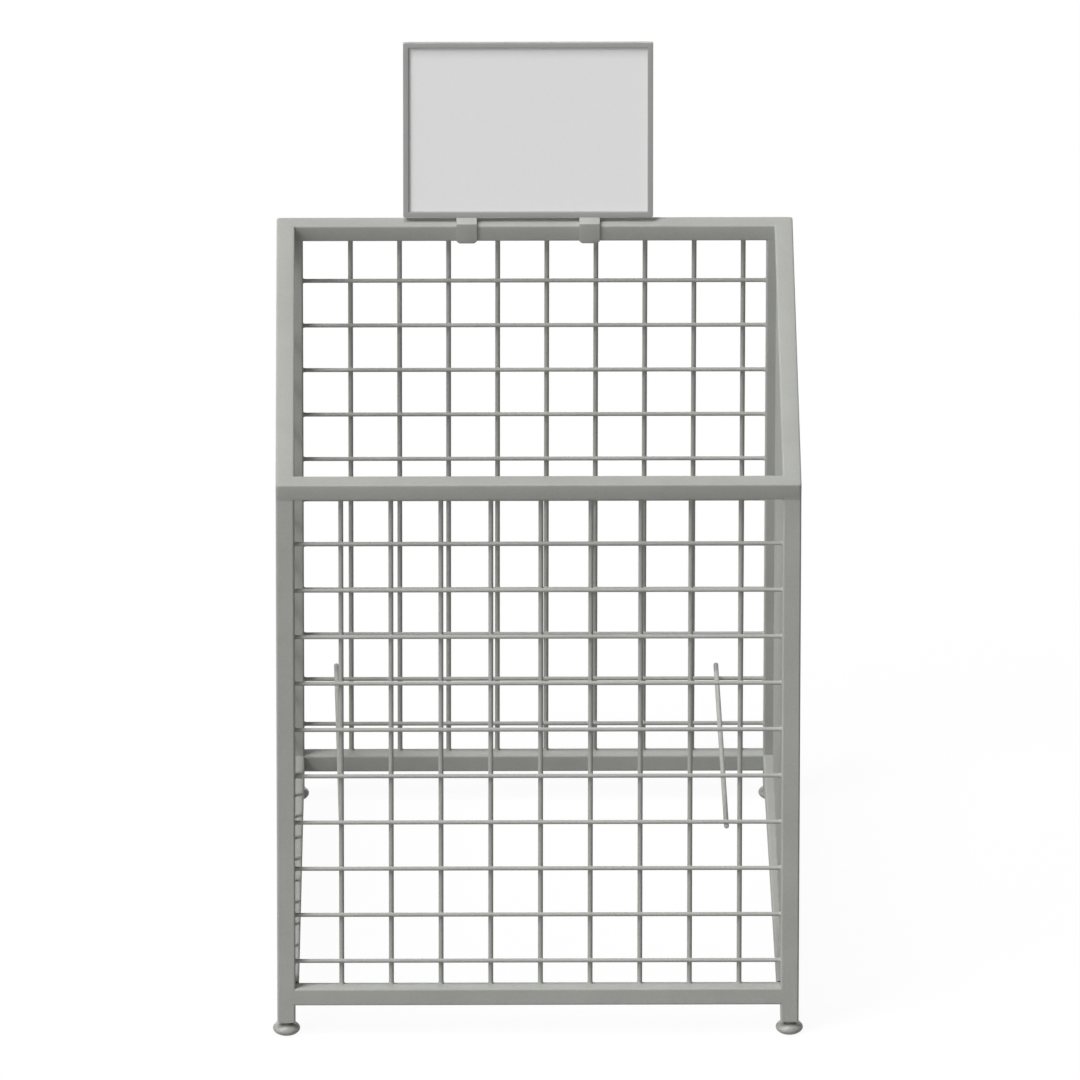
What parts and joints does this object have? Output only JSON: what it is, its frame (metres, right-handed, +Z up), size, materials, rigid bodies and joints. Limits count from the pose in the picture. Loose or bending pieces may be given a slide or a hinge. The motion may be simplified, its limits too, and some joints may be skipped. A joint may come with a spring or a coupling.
{
  "type": "wire mesh dump bin",
  "caption": "Open wire mesh dump bin: square steel tube frame with a sloping top rim, leaning front, levelling feet and a show-card frame clipped to the rear rail.",
  "frame": {"origin": "middle of the bin's bounding box on the floor under its levelling feet", "axes": "+Z up; +Y from the low front to the high rear, where the sign stands; +X to the right as seen from the front"},
  "size_m": [0.641, 0.7168, 1.0011],
  "materials": {
    "powder_coat": "satin grey powder coat",
    "powder_coat_wire": "satin grey powder coat on wire",
    "plug_plastic": "moulded charcoal nylon",
    "stud_steel": "zinc-plated",
    "foot_plastic": "moulded grey",
    "sign_plastic": "moulded grey, satin",
    "clip_plastic": "moulded grey, satin",
    "card": "blank pale grey card, uncoated"
  },
  "bodies": {
    "bin_frame": {"ring_front_rail": "powder_coat", "ring_rear_rail": "powder_coat", "ring_left_rail": "powder_coat", "ring_right_rail": "powder_coat", "front_left_post": "powder_coat", "front_right_post": "powder_coat", "rear_left_post": "powder_coat", "rear_right_post": "powder_coat", "front_bottom_rail": "powder_coat", "rear_bottom_rail": "powder_coat", "left_bottom_rail": "powder_coat", "right_bottom_rail": "powder_coat", "front_mesh_uprights": "powder_coat_wire", "front_mesh_crosswires": "powder_coat_wire", "rear_mesh_uprights": "powder_coat_wire", "rear_mesh_crosswires": "powder_coat_wire", "left_mesh_uprights": "powder_coat_wire", "left_mesh_crosswires": "powder_coat_wire", "right_mesh_uprights": "powder_coat_wire", "right_mesh_crosswires": "powder_coat_wire", "left_support_rod": "powder_coat_wire", "right_support_rod": "powder_coat_wire", "front_left_post_plug": "plug_plastic", "front_right_post_plug": "plug_plastic", "rear_left_post_plug": "plug_plastic", "rear_right_post_plug": "plug_plastic"},
    "front_left_foot": {"front_left_foot_stud": "stud_steel", "front_left_foot_pad": "foot_plastic"},
    "front_right_foot": {"front_right_foot_stud": "stud_steel", "front_right_foot_pad": "foot_plastic"},
    "rear_left_foot": {"rear_left_foot_stud": "stud_steel", "rear_left_foot_pad": "foot_plastic"},
    "rear_right_foot": {"rear_right_foot_stud": "stud_steel", "rear_right_foot_pad": "foot_plastic"},
    "sign_holder": {"sign_frame": "sign_plastic", "left_sign_clip": "clip_plastic", "right_sign_clip": "clip_plastic"},
    "show_card": {"sign_card": "card"}
  },
  "joints": [
    {"name": "front_left_foot_height", "type": "slide", "parent": "bin_frame", "child": "front_left_foot", "axis": [0, 0, -1], "range_m": [0, 0.012]},
    {"name": "front_right_foot_height", "type": "slide", "parent": "bin_frame", "child": "front_right_foot", "axis": [0, 0, -1], "range_m": [0, 0.012]},
    {"name": "rear_left_foot_height", "type": "slide", "parent": "bin_frame", "child": "rear_left_foot", "axis": [0, 0, -1], "range_m": [0, 0.012]},
    {"name": "rear_right_foot_height", "type": "slide", "parent": "bin_frame", "child": "rear_right_foot", "axis": [0, 0, -1], "range_m": [0, 0.012]},
    {"name": "sign_along_rail", "type": "slide", "parent": "bin_frame", "child": "sign_holder", "axis": [1, 0, 0], "range_m": [-0.19, 0.2]},
    {"name": "card_pull_out", "type": "slide", "parent": "sign_holder", "child": "show_card", "axis": [0, 0.1994, 0.9799], "range_m": [0, 0.21]}
  ]
}
